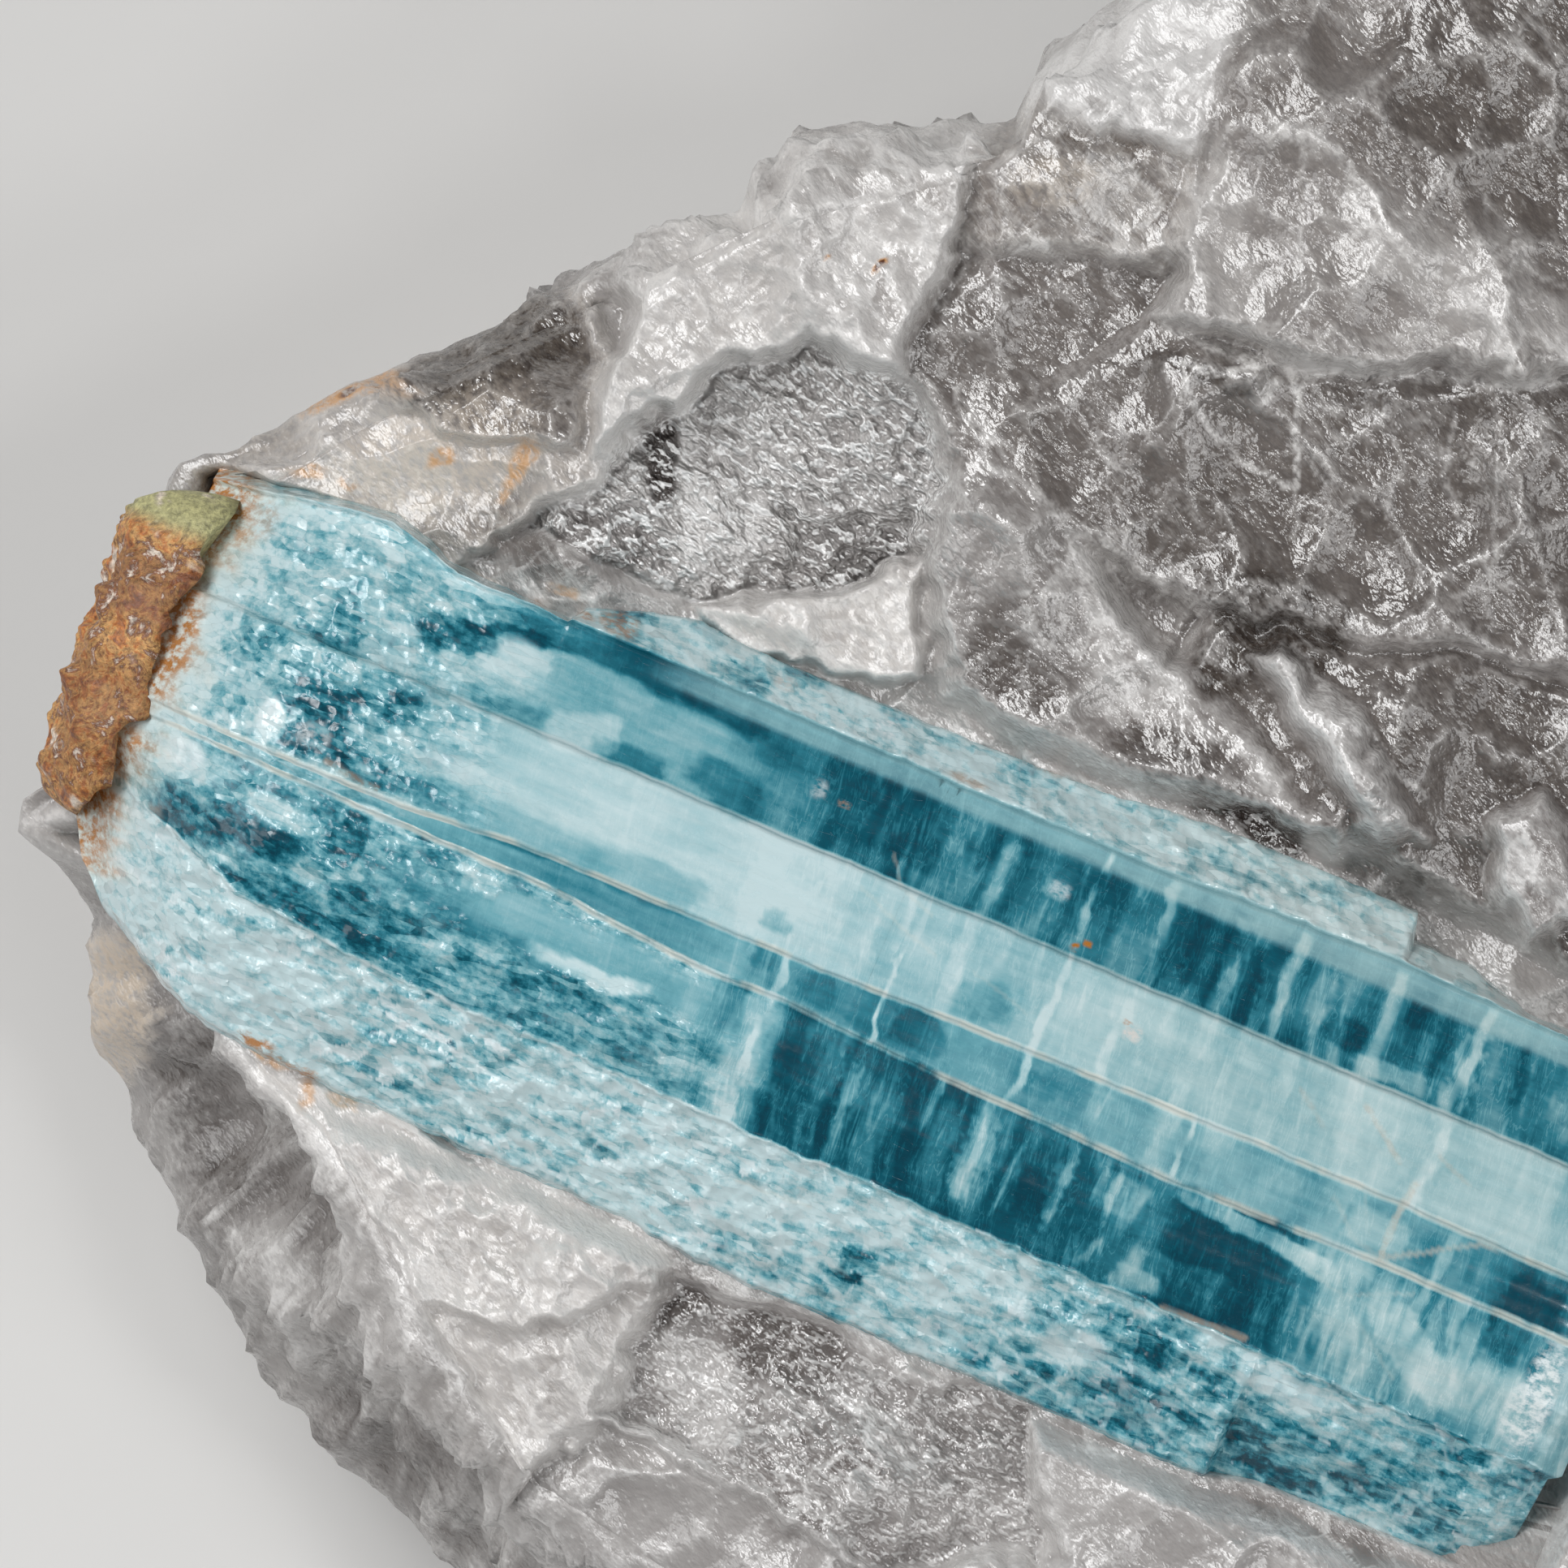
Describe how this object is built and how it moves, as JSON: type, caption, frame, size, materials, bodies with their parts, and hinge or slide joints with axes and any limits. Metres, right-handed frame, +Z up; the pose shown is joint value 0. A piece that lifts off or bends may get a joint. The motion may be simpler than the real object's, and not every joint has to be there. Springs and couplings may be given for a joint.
{
  "type": "tourmaline crystal in quartz",
  "caption": "Sheaf of blue-green tourmaline prisms sunk in the top of a broken lump of milky and smoky quartz, with a rusty crust on one end.",
  "frame": {"origin": "middle of the flat broken base, under the middle of the bounding box", "axes": "+Z up, out of the broken top that carries the crystal; the crystal runs from the upper left (-X, +Y) to the lower right (+X, -Y), 23 degrees off the X axis"},
  "size_m": [0.0826, 0.085, 0.042],
  "materials": {
    "quartz": "glossy broken faces, partly milky and partly smoky",
    "tourmaline": "glassy, blue-green, from deep teal to pale aqua",
    "crust": "dull rusty orange and brown"
  },
  "bodies": {
    "root": {"quartz_matrix": "quartz", "tourmaline_crystal": "tourmaline", "iron_oxide_crust": "crust"}
  },
  "joints": []
}
